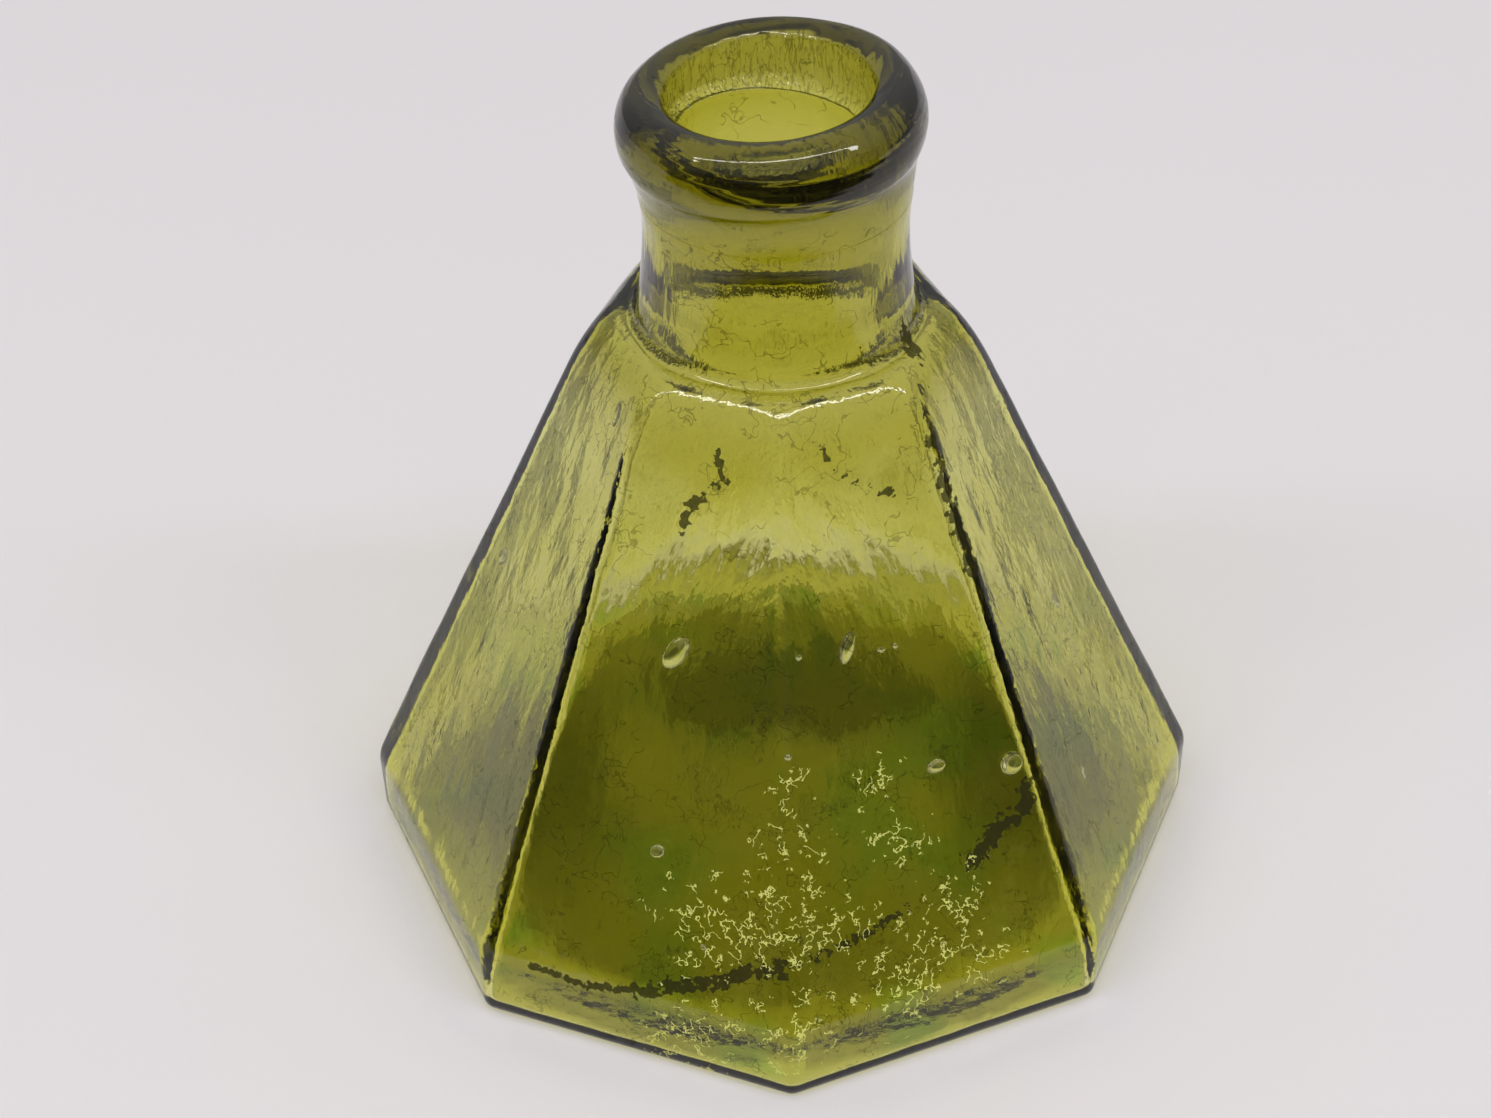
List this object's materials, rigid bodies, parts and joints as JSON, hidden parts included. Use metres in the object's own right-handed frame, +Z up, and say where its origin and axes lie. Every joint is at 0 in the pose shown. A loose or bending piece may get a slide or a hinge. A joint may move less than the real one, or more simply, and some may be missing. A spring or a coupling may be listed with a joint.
{
  "type": "ink bottle",
  "caption": "Small eight-sided tapering glass ink bottle with an upright band at the base, a short round neck and a thick rounded lip, open at the mouth.",
  "frame": {"origin": "middle of the base, on the surface that the bottle stands on", "axes": "+Z up through the mouth, -Y towards the body corner that faces the camera, +X to the right"},
  "size_m": [0.06, 0.06, 0.062],
  "materials": {
    "body_glass": "clear olive-green blown glass, glossy, wavy and with seed bubbles",
    "lip_glass": "thick olive-green glass, fire-polished",
    "scar_glass": "broken olive-green glass, rough"
  },
  "bodies": {
    "root": {"body_shell": "body_glass", "lip_ring": "lip_glass", "pontil_scar": "scar_glass"}
  },
  "joints": []
}
